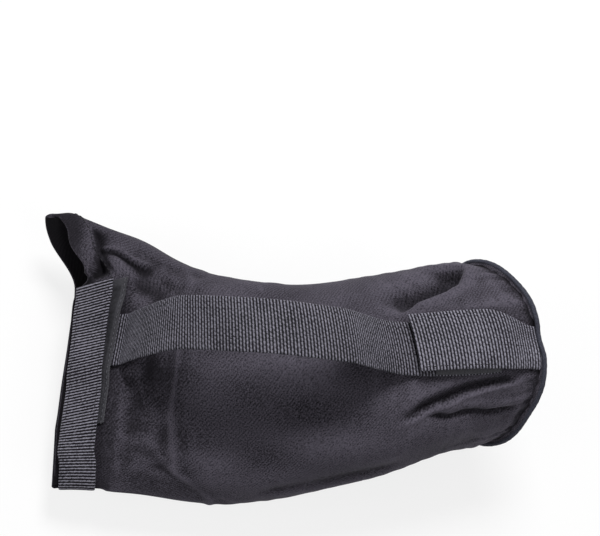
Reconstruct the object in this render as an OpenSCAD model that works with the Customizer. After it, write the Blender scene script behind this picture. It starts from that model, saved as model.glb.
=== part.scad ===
// Hand-strap sandbag: a fabric sack that runs from a round, piped base to a flat hemmed mouth.
// A webbing strap arches over the sack for a hand and closes with hook-and-loop tape on a tab that is sewn
// into the base seam. A second webbing band closes the mouth. Inside, a gathered pouch holds the sand.
// +X runs from the mouth to the base, +Z is up, and the sack lies on its back with the strap on top.

/* [Sack] */
// Diameter of the round base at its seam
base_d = 80; // [70:1:96]
// Length of the sack from the base seam to the mouth, along its middle
sack_len = 179; // [160:1:220]
// Thickness of the sack's fabric
fabric_t = 1; // [0.8:0.1:1.3]
// How far the base panel domes out
base_dome = 5; // [3:0.5:8]
// Lean of the base: its top stands further out than its foot, in degrees
base_tilt = 25; // [16:1:28]
// Turn of the base about the vertical, in degrees
base_yaw = 17; // [0:1:20]
// Flatness of the mouth: 1 would press its lips together from end to end
mouth_flat = 0.9; // [0.86:0.01:0.92]
// Sideways bow of the filled belly
belly_bow = 16; // [0:1:20]
// Height that the mouth's back lip lies above the floor
mouth_lift = 8; // [6:1:14]
// Extra rise of the mouth's gaping corner
corner_lift = 12; // [6:1:16]
// How far the gaping corner flares out past the rest of the mouth
corner_flare = 8; // [0:1:12]
// Slant of the mouth's edge and of the band along it, in degrees
mouth_slant = 5; // [0:0.5:8]
// How much more the upper lip draws back beside the gaping corner, where the band's tip holds it
mouth_draw = 7; // [4:0.5:10]
// How far the lower lip stands out under the gaping corner
lip_out = 3; // [0:0.5:5]
// Depth of the hem folded in round the mouth
hem_len = 11; // [6:1:14]

/* [Folds] */
// Depth of the hollow in the sack's top, between the tab and the far side
hollow_depth = 7; // [0:0.5:9]
// Depth of the slanting fold on the near side of the tab
slant_depth = 4; // [0:0.5:6]
// How far the top of the empty neck sinks
neck_dip = 2; // [0:0.5:4]
// How far the underside of the empty neck sags
neck_sag = 5; // [0:0.5:7]
// How far the filled belly bulges over the floor on each side
belly_bulge = 2.4; // [0:0.2:4]

/* [Piping] */
// Outside diameter of the piping round the base
piping_d = 3.6; // [3:0.2:5]
// Diameter of the cord in the piping
cord_d = 2; // [1.4:0.1:2.4]

/* [Webbing] */
// Width of the hand strap and its tab
strap_w = 23; // [20:1:28]
// Width of the mouth band
band_w = 15; // [12:1:20]
// Width of the loop tape under the mouth band
patch_w = 18; // [14:1:18]
// Thickness of the webbing
webbing_t = 1.4; // [1:0.1:1.8]
// Thickness of one half of the hook-and-loop tape
tape_t = 0.9; // [0.7:0.1:1.2]
// Height of the strap's arch over the sack, which leaves room for a hand
strap_rise = 40; // [30:1:50]
// Length of the tab, from the base seam to its tip
tab_len = 49; // [46:1:58]
// Length of the strap's end that lies under the tab
overlap_len = 32; // [28:1:37]
// Length of the strap's sewn foot
foot_len = 13; // [8:1:15]
// Length of the mouth band, from its bend to its tip
band_len = 74; // [64:1:82]
// Length of the band's sewn foot under the mouth, from the sack's near edge
foot_under = 20; // [14:1:28]

/* [Filling] */
// Thickness of the inner pouch's film
pouch_t = 0.6; // [0.4:0.1:1]
// Radius of the pouch's gathered neck
neck_r = 7; // [5:0.5:9]
// Diameter of the tie round the neck
tie_d = 2.4; // [1.6:0.2:3]

/* [Hidden] */

// Clearance between sewn layers, between layers that part, and round the base seam
skin_gap = 0.05;
lay_gap = 0.3;
seam_gap = 0.25;
// The band's distance from the mouth's edge, and the strap's from the band
band_edge = 1.6;
strap_clear = 11.2;
// Gap at each bend between a sewn end and the webbing that goes on from it
bend_gap = 1.5;

base_r = base_d/2;
piping_r = piping_d/2;
pipe_ring_r = base_r - 0.2;
base_edge_r = pipe_ring_r - piping_r - seam_gap;

// The base seam stands in a tilted plane, and its piping just meets the floor.
seam_out = piping_r + seam_gap;
base_z = seam_out*sin(base_tilt) + pipe_ring_r*cos(base_tilt) + piping_r;
// The origin lies under the middle of the filled part.
origin_shift = 12;
base_x = sack_len/2 - origin_shift;
base_y = 5;
rest_sag = 6;
bow_exp = 1.4;
flat_exp = 1.35;
height_exp = 0.72;
lip_pinch = 0.62;

// Facets round the sack and along it
round_n = 48;
along_n = 24;

fabric_colour = [0.16, 0.16, 0.18];
webbing_colour = [0.24, 0.24, 0.27];
tape_colour = [0.3, 0.3, 0.34];
film_colour = [0.75, 0.75, 0.78, 0.6];
sand_colour = [0.76, 0.66, 0.48];

function ease(x, a, b) = let (t = max(0, min(1, (x - a)/(b - a)))) t*t*(3 - 2*t);
function unit(v) = v/norm(v);
function mix(a, b, t) = a + (b - a)*t;

// The sack's section at s, where 0 is the base and 1 the mouth, keeps its girth while it flattens.
function flatness(s) = mouth_flat*pow(s, flat_exp);
function half_w(s) = base_r*(1 + (PI/2 - 1)*flatness(s));
function half_h(s) = base_r*pow(1 - flatness(s), height_exp);
function gape(phi) = ease(cos(phi), 0.05, 0.75);
function lip_h(s, phi) = half_h(s)*(1 - lip_pinch*ease(s, 0.72, 0.97)*(1 - gape(phi)));
function floor_sag(s) = rest_sag*ease(s, 0, 0.3)*(1 - ease(s, 0.6, 0.9));
function centre_z(s) = half_h(s) + (base_z - base_r)*(1 - ease(s, 0, 0.25)) + mouth_lift*ease(s, 0.55, 1)
    - floor_sag(s);
function centre_y(s) = base_y - belly_bow*pow(max(0, sin(180*s)), bow_exp);
function centre(s) = [base_x - sack_len*s, centre_y(s), centre_z(s)];

// A point of the section that stands y across and z up from its centre, turned as the base is turned.
function section_point(s, y, z) = let (
    turn = (1 - s)*(1 - s),
    x1 = z*sin(base_tilt*turn),
    yaw = base_yaw*turn
) centre(s) + [x1*cos(yaw) - y*sin(yaw), x1*sin(yaw) + y*cos(yaw), z*cos(base_tilt*turn)];

// A point of the sack's surface, or of one inset within it. phi is 0 at the far side and 90 on top.
function sack_point(s, phi, inset = 0) = let (
    far = pow(max(0, cos(phi)), 2)*ease(s, 0.7, 1),
    p = section_point(s, (half_w(s) - inset)*cos(phi), (lip_h(s, phi) - inset)*sin(phi))
        + [-corner_flare*far, 0, corner_lift*far]
) [p.x, p.y, max(inset, p.z)];

// A point h above the sack's top at s, y across from its crown.
function crown_point(s, y) = sack_point(s, acos(max(-1, min(1, y/half_w(s)))));
function crown_normal(s, y) = unit(cross(
    crown_point(max(0, s - 0.004), y) - crown_point(s + 0.004, y),
    crown_point(s, y + 0.5) - crown_point(s, y - 0.5)));
function over_crown(s, y, h) = crown_point(s, y) + h*crown_normal(s, y);

// Two triangles for each cell of a grid of points whose rows hold n points. closed joins a row's ends.
function cell(a, b, c, d) = [[a, b, c], [a, c, d]];
function grid_faces(rows, n, first = 0, closed = false, flip = false) = [
    for (i = [0:rows - 2], j = [0:n - (closed ? 1 : 2)])
        let (k = (j + 1)%n, a = first + i*n + j, b = first + i*n + k, c = b + n, d = a + n)
        each flip ? cell(a, d, c, b) : cell(a, b, c, d)];
function fan_faces(first, n, flip = false) = [
    for (j = [1:n - 2]) flip ? [first, first + j + 1, first + j] : [first, first + j, first + j + 1]];
function flat_list(grid) = [for (row = grid) each row];

// A closed body through rings of points, with a flat cap on each end.
module ring_body(rings) {
    n = len(rings[0]);
    rows = len(rings);
    polyhedron(flat_list(rings), concat(
        grid_faces(rows, n, closed = true),
        fan_faces(0, n, flip = true),
        fan_faces((rows - 1)*n, n)));
}

// A wall between outer and inner rings, open at its last ring, and open or capped at its first.
module ring_wall(outer, inner, capped = false) {
    n = len(outer[0]);
    rows = len(outer);
    inner_first = rows*n;
    last_outer = (rows - 1)*n;
    last_inner = inner_first + last_outer;
    polyhedron(concat(flat_list(outer), flat_list(inner)), concat(
        grid_faces(rows, n, closed = true),
        grid_faces(rows, n, first = inner_first, closed = true, flip = true),
        capped ? concat(fan_faces(0, n, flip = true), fan_faces(inner_first, n))
            : [for (j = [0:n - 1]) let (k = (j + 1)%n) each cell(inner_first + j, inner_first + k, k, j)],
        [for (j = [0:n - 1]) let (k = (j + 1)%n)
            each cell(last_outer + j, last_outer + k, last_inner + k, last_inner + j)]));
}

// A strip of thickness t about a grid of middle points: rows run along the strip, columns across it.
module strip(mid, t) {
    rows = len(mid);
    n = len(mid[0]);
    normals = [for (i = [0:rows - 1]) [for (j = [0:n - 1]) unit(cross(
        mid[min(i + 1, rows - 1)][j] - mid[max(i - 1, 0)][j],
        mid[i][min(j + 1, n - 1)] - mid[i][max(j - 1, 0)]))]];
    upper = [for (i = [0:rows - 1]) [for (j = [0:n - 1]) mid[i][j] + normals[i][j]*t/2]];
    lower = [for (i = [0:rows - 1]) [for (j = [0:n - 1]) mid[i][j] - normals[i][j]*t/2]];
    low = rows*n;
    polyhedron(concat(flat_list(upper), flat_list(lower)), concat(
        grid_faces(rows, n),
        grid_faces(rows, n, first = low, flip = true),
        [for (i = [0:rows - 2], e = [0, n - 1]) let (a = i*n + e, b = a + n)
            each e == 0 ? cell(a, b, low + b, low + a) : cell(a, low + a, low + b, b)],
        [for (j = [0:n - 2], i = [0, rows - 1]) let (a = i*n + j, b = a + 1)
            each i == 0 ? cell(a, low + a, low + b, b) : cell(a, b, low + b, low + a)]));
}

function steps(a, b, n) = [for (i = [0:n]) mix(a, b, i/n)];

// Sack

// The wall is one layer of fabric up to the hem, where it folds in on itself.
hem_s = 1 - hem_len/sack_len;
hem_t = 1.8*fabric_t;
// Both lips slant back from slant_from across the mouth to where the band ends. The upper lip draws back
// most at draw_y, steeply under the band and gently towards the corner, where corner_draw takes over. The
// lower lip draws back less, and stands out at the corner.
slant_from = -35;
slant_to = 30;
slant_end = 50;
draw_y = 33;
draw_under = 7;
draw_beside = 11;
corner_draw = 5;
corner_y = 52;
corner_w = 9;
lower_share = 1/6;
lower_y = 28;
lower_w = 14;
out_y = 56;
out_w = 10;
function swell(y, at, w) = exp(-pow((y - at)/w, 2));
function slant_draw(y) = tan(mouth_slant)*max(0, y - slant_from)*(1 - ease(y, slant_to, slant_end));
function upper_draw(y) = mouth_draw*swell(y, draw_y, y < draw_y ? draw_under : draw_beside)
    + corner_draw*swell(y, corner_y, corner_w) + slant_draw(y);
function lower_draw(y) = lower_share*mouth_draw*swell(y, lower_y, lower_w)
    - lip_out*swell(y, out_y, out_w) + slant_draw(y);
function edge_s(phi) = let (y = half_w(1)*cos(phi), upper = ease(sin(phi), -0.15, 0.25))
    1 - mix(lower_draw(y), upper_draw(y), upper)/sack_len;

// Each fold runs along a line between two places, given as [s, phi], and dies away over its width.
// A bulge has a depth below zero. The folds end before the base seam and before the hem.
hollow_w = 7;
slant_w = 5;
dip_w = 11;
sag_w = 13;
bulge_w = 13;
folds = [
    [[0.2, 56], [0.1, 46], hollow_depth, hollow_w],
    [[0.21, 122], [0.09, 121], slant_depth, slant_w],
    [[0.74, 60], [0.74, 130], neck_dip, dip_w],
    [[0.82, 240], [0.82, 295], -neck_sag, sag_w],
    [[0.13, 225], [0.4, 214], -belly_bulge, bulge_w],
    [[0.1, 312], [0.24, 314], -belly_bulge, bulge_w]];
function sum(v) = v*[for (x = v) 1];
function unrolled(place) = [sack_len*place[0], base_r*place[1]*PI/180];
function line_gap(p, a, b) = let (d = b - a, t = max(0, min(1, (p - a)*d/(d*d)))) norm(p - a - d*t);
function fold_at(place, fold, spread) = fold[2]
    *swell(line_gap(unrolled(place), unrolled(fold[0]), unrolled(fold[1])), 0, fold[3] + spread);
function fold_ends(s) = ease(s, 0, 0.06)*(1 - ease(s, 0.85, 0.91));
function folded_in(s, phi) = fold_ends(s)*sum([for (f = folds) fold_at([s, phi], f, 0)]);
// The filling keeps clear of the hollows, with some room to spare round them.
hollow_room = 5;
function pressed_in(s, phi) = sum([for (f = folds) max(0, fold_at([s, phi], f, hollow_room))]);

function panel_point(s, phi, inset) = let (p = sack_point(s, phi, inset + folded_in(s, phi)))
    [p.x, p.y, max(inset, p.z)];
function panel_ring(t, inset) = [for (j = [0:round_n - 1]) let (phi = 360*j/round_n)
    panel_point(t*edge_s(phi), phi, inset)];

module body_panel() {
    stations = concat(steps(0, hem_s, along_n), steps(hem_s + 0.004, 1, 2));
    color(fabric_colour) ring_wall([for (t = stations) panel_ring(t, 0)],
        [for (t = stations) panel_ring(t, t > hem_s ? hem_t : fabric_t)]);
}

// Stands what follows on the base seam: its axis runs out of the sack.
module on_base_seam() {
    translate(centre(0)) rotate([0, base_tilt, base_yaw]) translate([seam_out, 0, 0]) rotate([0, 90, 0])
        children();
}

module base_panel() {
    sphere_r = (base_edge_r*base_edge_r + base_dome*base_dome)/(2*base_dome);
    color(fabric_colour) on_base_seam() rotate_extrude($fn = 96)
        intersection() {
            translate([0, base_dome - sphere_r]) difference() {
                circle(r = sphere_r, $fn = 200);
                circle(r = sphere_r - fabric_t, $fn = 200);
            }
            translate([0, -fabric_t]) square([base_edge_r, base_dome + 2*fabric_t]);
        }
}

module piping_cover() {
    color(fabric_colour) on_base_seam() rotate_extrude($fn = 96) translate([pipe_ring_r, 0]) difference() {
        circle(r = piping_r, $fn = 32);
        circle(r = cord_d/2 + skin_gap, $fn = 32);
    }
}

module piping_cord() {
    color("dimgray") on_base_seam() rotate_extrude($fn = 96) translate([pipe_ring_r, 0])
        circle(r = cord_d/2, $fn = 32);
}

// Hand strap

// The strap lies flat from its end to touch_s, arches over the hand and lands on its sewn foot at foot_s.
// The crown is longer than the sack's middle, because the base leans.
crown_len = sack_len + base_d*sin(base_tilt);
strap_end_s = (tab_len - overlap_len)/crown_len;
tab_tip_s = tab_len/crown_len;
touch_in = 6;
touch_s = tab_tip_s - touch_in/crown_len;
band_s = 1 - (band_w/2 + band_edge)/sack_len;
foot_s = band_s - (band_w/2 + strap_clear)/sack_len;
// The strap's line across the crown: it starts at strap_y_end, drifts out and comes back to its foot. Under
// the tab it turns aside, from turn_before its end to turn_to.
strap_y_end = 0.5;
strap_y_drift = 9.5;
strap_y_return = 3.2;
strap_y_turn = 7.5;
turn_before = 0.06;
turn_to = 0.33;
strap_top = lay_gap + webbing_t;
loop_top = strap_top + skin_gap + tape_t;
hook_top = loop_top + lay_gap + tape_t;
tab_h = hook_top + skin_gap + webbing_t/2;

function strap_y(s) = strap_y_end + strap_y_drift*ease(s, strap_end_s, 0.6)
    - strap_y_return*ease(s, 0.72, foot_s)
    - strap_y_turn*(1 - ease(s, strap_end_s - turn_before, turn_to));
function arch(s) = let (w = max(0, min(1, (s - touch_s)/(foot_s - touch_s))))
    strap_rise*pow(max(0, sin(180*pow(w, 1.3))), 0.7)*ease(w, 0, 0.3);
function across(w, n) = steps(-w/2, w/2, n);
// The sewn foot is cut on a slant, which the strap loses on its way up.
foot_slant = 9;
function slanted(s, v) = s - v*tan(foot_slant)*ease(s, 0.7, foot_s)/sack_len;
function strap_row(s, h, w) = [for (v = across(w, 4))
    over_crown(slanted(s, v), strap_y(s) + v, h) + [0, 0, arch(s)]];

module hand_strap() {
    color(webbing_colour) strip([for (s = steps(foot_s, strap_end_s, 44))
        strap_row(s, lay_gap + webbing_t/2, strap_w)], webbing_t);
}

foot_y = centre_y(foot_s) + strap_y(foot_s);

module strap_foot() {
    foot_from = foot_s + bend_gap/sack_len;
    color(webbing_colour) strip([for (s = steps(foot_from + foot_len/sack_len, foot_from, 5))
        [for (v = across(strap_w, 8))
            over_crown(slanted(s, v), foot_y - centre_y(s) + v, lay_gap + webbing_t/2)]], webbing_t);
}

module strap_loop_tape() {
    color(tape_colour) strip([for (s = steps(touch_s, strap_end_s, 12))
        strap_row(s, strap_top + skin_gap + tape_t/2, strap_w - 1)], tape_t);
}

// The tab climbs from the base seam over the strap's end, and bows a little to one side on the way.
tab_root_s = 0.004;
tab_y_root = -8.5;
tab_y_tip = 2.5;
tab_bow = 0.4;
function tab_rise(s) = mix(lay_gap + webbing_t/2, tab_h, ease(s, 0.01, strap_end_s - 0.005));
function tab_y(s) = mix(tab_y_root, tab_y_tip, s/tab_tip_s) + tab_bow*sin(180*s/tab_tip_s);

module strap_tab() {
    color(webbing_colour) strip([for (s = steps(tab_tip_s, tab_root_s, 20))
        [for (v = across(strap_w, 4)) over_crown(s, tab_y(s) + v, tab_rise(s))]], webbing_t);
}

module tab_hook_tape() {
    under = webbing_t/2 + skin_gap + tape_t/2;
    color(tape_colour) strip([for (s = steps(tab_tip_s - 0.01, strap_end_s + 0.012, 12))
        [for (v = across(strap_w - 1, 4)) over_crown(s, tab_y(s) + v, tab_rise(s) - under)]], tape_t);
}

// Mouth closure

// The band lies along the mouth's edge from its bend, near the sack's near edge, to its tip. The loop tape
// sewn under it leans further from the edge, so that it shows beside the tip. Rows run along y, and the
// layers ride over the strap's sewn foot.
bend_in = 13;
patch_lean = 4;
foot_ramp = 8;
bend_y = centre_y(band_s) - half_w(band_s) + bend_in;
band_rows = 30;
function band_y(k) = bend_y + band_len*(1 - k/band_rows);
function band_line(y, lean) = band_s - (tan(mouth_slant) + lean/band_len)*(y - bend_y)/sack_len;
function foot_bump(y) = let (e = strap_w/2 + 1) (webbing_t + lay_gap)
    *ease(y, foot_y - e - foot_ramp, foot_y - e)*(1 - ease(y, foot_y + e, foot_y + e + foot_ramp));
function closure_row(y, h, w, lean = 0) = [for (v = across(w, 6))
    let (s = band_line(y, lean) - v/sack_len) over_crown(s, y - centre_y(s), h + foot_bump(y))];

// Rows, counted from the band's tip, where each tape starts and ends
loop_rows = [0, 25];
hook_rows = [1, 24];
closure_hook_h = 2*lay_gap + tape_t + tape_t/2;
closure_band_h = closure_hook_h + tape_t/2 + 2*skin_gap + webbing_t/2;

module closure_loop_tape() {
    color(tape_colour) strip([for (k = [loop_rows[0]:loop_rows[1]])
        closure_row(band_y(k), lay_gap + tape_t/2, patch_w, patch_lean)], tape_t);
}

module closure_hook_tape() {
    color(tape_colour) strip([for (k = [hook_rows[0]:hook_rows[1]])
        closure_row(band_y(k), closure_hook_h, band_w - 1)], tape_t);
}

module closure_band() {
    color(webbing_colour) strip([for (k = [0:band_rows])
        closure_row(band_y(k), closure_band_h, band_w)], webbing_t);
}

// The band's sewn end goes on round the sack's near edge and lies under the mouth.
module band_foot() {
    color(webbing_colour) strip([for (k = [0:14]) [for (v = across(band_w, 6)) let (
        s = band_s - v/sack_len,
        phi_bend = acos((bend_y - bend_gap - centre_y(s))/half_w(s)),
        phi_end = 360 - acos(foot_under/half_w(s) - 1),
        phi = mix(phi_bend, phi_end, k/14),
        out = unit([0, cos(phi)/half_w(s), sin(phi)/lip_h(s, phi)])
    ) sack_point(s, phi) + out*mix(closure_band_h, lay_gap + webbing_t/2, ease(k, 0, 6))]], webbing_t);
}

// Filling

pouch_gap = 0.5;
pouch_from = 0.03;
pouch_full = 0.68;
neck_s = 0.78;
pouch_to = 0.83;
pouch_inset = fabric_t + pouch_gap;

// The pouch rounds off at the base, and gathers to its neck before it flares again.
function pouch_round(s) = mix(0.72, 1, ease(s, pouch_from, 0.14));
// The neck stays slim for the tie's width on both sides of neck_s.
neck_half = tie_d/sack_len;
function gather(s) = ease(s, pouch_full, neck_s - neck_half);
function neck_flare(s) = neck_r*(1 + 0.25*ease(s, neck_s + neck_half, pouch_to));
function pouch_point(s, phi, inset) = let (
    wide = sack_point(s, phi, inset + pressed_in(s, phi)),
    slim = centre(s) + [0, cos(phi), sin(phi)]*(neck_flare(s) - inset + pouch_inset),
    mid = centre(s),
    p = mix(wide, slim, gather(s))
) mix(mid, p, pouch_round(s));
function pouch_ring(s, inset) = [for (j = [0:35]) pouch_point(s, 10*j, inset)];

module inner_pouch() {
    stations = concat(steps(pouch_from, 0.14, 4), steps(0.2, pouch_full, 7),
        steps(pouch_full + 0.02, neck_s - neck_half, 4), steps(neck_s + neck_half, pouch_to, 2));
    inner_stations = [for (s = stations) s == pouch_from ? pouch_from + pouch_t/sack_len : s];
    color(film_colour) ring_wall([for (s = stations) pouch_ring(s, pouch_inset)],
        [for (s = inner_stations) pouch_ring(s, pouch_inset + pouch_t)], capped = true);
}

module pouch_tie() {
    color("white") translate(centre(neck_s)) rotate([0, 90, 0]) rotate_extrude($fn = 64)
        translate([neck_r + tie_d/2 + seam_gap, 0]) circle(r = tie_d/2, $fn = 24);
}

module sand_fill() {
    sand_inset = pouch_inset + pouch_t + lay_gap;
    stations = concat(steps(pouch_from + 0.006, 0.14, 4), steps(0.2, pouch_full, 7), [pouch_full + 0.02]);
    color(sand_colour) ring_body([for (s = stations) pouch_ring(s, sand_inset)]);
}

body_panel();
base_panel();
piping_cover();
piping_cord();
closure_loop_tape();
closure_hook_tape();
closure_band();
band_foot();
hand_strap();
strap_foot();
strap_loop_tape();
strap_tab();
tab_hook_tape();
inner_pouch();
pouch_tie();
sand_fill();
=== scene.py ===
import bpy
import numpy as np
from mathutils import Matrix, Vector


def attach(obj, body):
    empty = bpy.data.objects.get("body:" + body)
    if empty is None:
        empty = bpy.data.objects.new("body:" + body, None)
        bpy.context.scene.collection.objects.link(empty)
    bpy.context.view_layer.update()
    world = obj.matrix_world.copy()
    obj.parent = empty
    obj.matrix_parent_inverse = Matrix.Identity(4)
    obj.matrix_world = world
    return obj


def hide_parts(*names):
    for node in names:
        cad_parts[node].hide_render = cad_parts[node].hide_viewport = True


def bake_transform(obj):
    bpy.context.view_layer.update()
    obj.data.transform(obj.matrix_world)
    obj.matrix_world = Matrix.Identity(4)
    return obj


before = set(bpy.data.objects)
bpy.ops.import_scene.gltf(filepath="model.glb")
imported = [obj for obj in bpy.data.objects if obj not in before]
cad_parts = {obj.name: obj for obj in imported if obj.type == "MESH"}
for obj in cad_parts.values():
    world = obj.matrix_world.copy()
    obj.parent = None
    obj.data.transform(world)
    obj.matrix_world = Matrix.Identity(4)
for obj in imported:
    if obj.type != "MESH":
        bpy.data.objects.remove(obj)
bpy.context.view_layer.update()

MM = 0.001

# Dimensions of the sack
base_d = 80
sack_len = 179
fabric_t = 1
base_dome = 5
base_tilt = np.radians(25)
base_yaw = np.radians(17)
mouth_flat = 0.9
belly_bow = 16
mouth_lift = 8
corner_lift = 12
corner_flare = 8
mouth_slant = np.radians(5)
mouth_draw = 7
lip_out = 3
hem_len = 11
piping_d = 3.6

# Dimensions of the webbing, the tapes and the filling
strap_w = 23
band_w = 15
patch_w = 18
webbing_t = 1.4
tape_t = 0.9
strap_rise = 40
tab_len = 49
overlap_len = 32
foot_len = 13
band_len = 74
foot_under = 20
pouch_t = 0.6
neck_r = 7
tie_d = 2.4
skin_gap = 0.05
lay_gap = 0.3
seam_gap = 0.25
band_edge = 1.6
strap_clear = 11.2
bend_gap = 1.5
foot_slant = np.radians(9)
strap_pitch = 1.35
band_pitch = 1.27

# Counts of points across and along the strips
strap_cols = 49
band_cols = 37
patch_cols = 41
strap_rows = 1600
tab_rows = 600
band_rows = 900
band_foot_rows = 500
tape_rows = 300

base_r = base_d/2
piping_r = piping_d/2
pipe_ring_r = base_r - 0.2
base_edge_r = pipe_ring_r - piping_r - seam_gap
seam_r = pipe_ring_r + 0.3*piping_r
seam_out = piping_r + seam_gap
base_z = seam_out*np.sin(base_tilt) + pipe_ring_r*np.cos(base_tilt) + piping_r
base_x = sack_len/2 - 12


def ease(x, a, b):
    t = np.clip((x - a)/(b - a), 0, 1)
    return t*t*(3 - 2*t)


def fall(x, a, b):
    return 1 - ease(x, a, b)


def mix(a, b, t):
    return a + (b - a)*t


def unit(v):
    return v/np.maximum(np.linalg.norm(v, axis=-1, keepdims=True), 1e-12)


def stack(x, y, z):
    return np.stack(np.broadcast_arrays(x, y, z), -1).astype(float)


def columns(width, n):
    return np.linspace(-width/2, width/2, n)


def full_turn(n):
    return np.linspace(0, 2*np.pi, n, endpoint=False)


def waves(turn, rows, shift=0):
    """A sum of cosines, one for each (count, height, phase)."""
    return sum(a*np.cos(k*turn + f + shift) for k, a, f in rows)


def listed(*grids):
    """The points of several grids, one after another."""
    return np.concatenate([g.reshape(-1, 3) for g in grids])


# The sack's loft: s runs from the base at 0 to the mouth at 1, and phi from the far side over the top.
def flatness(s):
    return mouth_flat*np.maximum(s, 0)**1.35


def half_w(s):
    return base_r*(1 + (np.pi/2 - 1)*flatness(s))


def half_h(s):
    return base_r*(1 - flatness(s))**0.72


def lip_h(s, phi):
    gape = ease(np.cos(phi), 0.05, 0.75)
    return half_h(s)*(1 - 0.62*ease(s, 0.72, 0.97)*(1 - gape))


def centre_y(s):
    return 5 - belly_bow*np.maximum(0, np.sin(np.pi*s))**1.4


def centre(s):
    sag = 6*ease(s, 0, 0.3)*fall(s, 0.6, 0.9)
    rise = (base_z - base_r)*fall(s, 0, 0.25) + mouth_lift*ease(s, 0.55, 1)
    return stack(base_x - sack_len*s, centre_y(s), half_h(s) + rise - sag)


# The base seam's own frame
base_axis = stack(np.cos(base_yaw)*np.cos(base_tilt), np.sin(base_yaw)*np.cos(base_tilt),
    -np.sin(base_tilt))
base_side = stack(-np.sin(base_yaw), np.cos(base_yaw), 0.0)
base_up = np.cross(base_axis, base_side)
base_hub = centre(0.0)
seam_hub = base_hub + base_axis*seam_out


def on_base(x, y, z):
    """Points in the seam's frame: x and y across the base, z out of it."""
    return seam_hub + x[..., None]*base_side + y[..., None]*base_up + z[..., None]*base_axis


def section_point(s, y, z):
    turn = (1 - s)**2
    yaw = base_yaw*turn
    x = z*np.sin(base_tilt*turn)
    return centre(s) + stack(x*np.cos(yaw) - y*np.sin(yaw), x*np.sin(yaw) + y*np.cos(yaw),
        z*np.cos(base_tilt*turn))


def sack_point(s, phi, inset=0.0):
    s, phi = np.broadcast_arrays(np.asarray(s, float), np.asarray(phi, float))
    far = np.maximum(0, np.cos(phi))**2*ease(s, 0.7, 1)
    p = section_point(s, (half_w(s) - inset)*np.cos(phi), (lip_h(s, phi) - inset)*np.sin(phi))
    p = p + far[..., None]*np.array([-corner_flare, 0, corner_lift])
    p[..., 2] = np.maximum(inset, p[..., 2])
    return p


def swell(y, at, spread):
    return np.exp(-((y - at)/spread)**2)


def edge_s(phi):
    """Where the mouth's edge runs. The upper lip is drawn back by the band, and the lower stands out."""
    y = half_w(1)*np.cos(phi)
    slant = np.tan(mouth_slant)*np.maximum(0, y + 35)*fall(y, 30, 50)
    upper = mouth_draw*swell(y, 33, np.where(y < 33, 7, 11)) + 5*swell(y, 52, 9)
    lower = mouth_draw/6*swell(y, 28, 14) - lip_out*swell(y, 56, 10)
    return 1 - (mix(lower, upper, ease(np.sin(phi), -0.15, 0.25)) + slant)/sack_len


def crown_turn(s, y):
    return np.arccos(np.clip(y/half_w(s), -1, 1))


def crown_point(s, y):
    return sack_point(s, crown_turn(s, y))


def over_crown(s, y, h):
    s, y, h = np.broadcast_arrays(np.asarray(s, float), np.asarray(y, float), np.asarray(h, float))
    along = crown_point(np.maximum(0, s - 0.004), y) - crown_point(s + 0.004, y)
    across = crown_point(s, y + 0.5) - crown_point(s, y - 0.5)
    return crown_point(s, y) + h[..., None]*unit(np.cross(along, across))


# Stations of the strap, the tab and the band
crown_len = sack_len + base_d*np.sin(base_tilt)
strap_end_s = (tab_len - overlap_len)/crown_len
tab_tip_s = tab_len/crown_len
touch_s = tab_tip_s - 6/crown_len
band_s = 1 - (band_w/2 + band_edge)/sack_len
foot_s = band_s - (band_w/2 + strap_clear)/sack_len
strap_top = lay_gap + webbing_t
loop_top = strap_top + skin_gap + tape_t
hook_top = loop_top + lay_gap + tape_t
tab_h = hook_top + skin_gap + webbing_t/2


def strap_y(s):
    turn = 7.5*fall(s, strap_end_s - 0.06, 0.33)
    return 0.5 + 9.5*ease(s, strap_end_s, 0.6) - 3.2*ease(s, 0.72, foot_s) - turn


def arch(s):
    w = np.clip((s - touch_s)/(foot_s - touch_s), 0, 1)
    return strap_rise*np.maximum(0, np.sin(np.pi*w**1.3))**0.7*ease(w, 0, 0.3)


foot_y = centre_y(foot_s) + strap_y(foot_s)


def strap_line(s):
    return np.where(s > foot_s, foot_y - centre_y(s), strap_y(s))


def strap_grid(s, v, h):
    lift = arch(s)[:, None]
    slanted = s[:, None] - v[None]*(np.tan(foot_slant)*ease(s, 0.7, foot_s)/sack_len)[:, None]
    p = over_crown(slanted, strap_line(s)[:, None] + v[None], h)
    p[..., 2] += lift
    return p


def shoulder(s):
    """How far the cloth dips towards the base seam, in mm."""
    return 1.3*fall(s*sack_len, 0, 12)


def seam_sag(s, phi):
    """How far the base seam stands out of its circle, in mm, easing to nothing along the sack."""
    turn = np.degrees(phi)
    out = sum(a*swell((turn - at + 180) % 360 - 180, 0, spread) for a, at, spread in
        ((0.6, 74, 8), (-2.3, 5, 14), (-2.2, 100, 9), (-1.9, 154, 22)))
    return out*fall(s*sack_len, 0, 24)


def tab_rise(s):
    return mix(lay_gap + webbing_t/2, tab_h, ease(s, 0.01, strap_end_s - 0.005)) - shoulder(s)


def tab_y(s):
    return mix(-8.5, 2.5, s/tab_tip_s) + 0.4*np.sin(np.pi*s/tab_tip_s)


def tab_grid(s, v, drop=0.0):
    gather = 1 - 0.45*fall(s, 0, 0.09)[:, None]*(v[None] > 0)
    s = s[:, None]
    y = tab_y(s) + v[None]*gather
    return over_crown(s, y, tab_rise(s) - drop + seam_sag(s, crown_turn(s, y)))


bend_y = centre_y(band_s) - half_w(band_s) + 13
hook_h = 2*lay_gap + 1.5*tape_t
band_h = hook_h + tape_t/2 + 2*skin_gap + webbing_t/2


def band_line(y, lean=0):
    return band_s - (np.tan(mouth_slant) + lean/band_len)*(y - bend_y)/sack_len


def foot_bump(y):
    e = strap_w/2 + 1
    rise = ease(y, foot_y - e - 8, foot_y - e)*fall(y, foot_y + e, foot_y + e + 8)
    return (webbing_t + lay_gap)*rise


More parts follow.
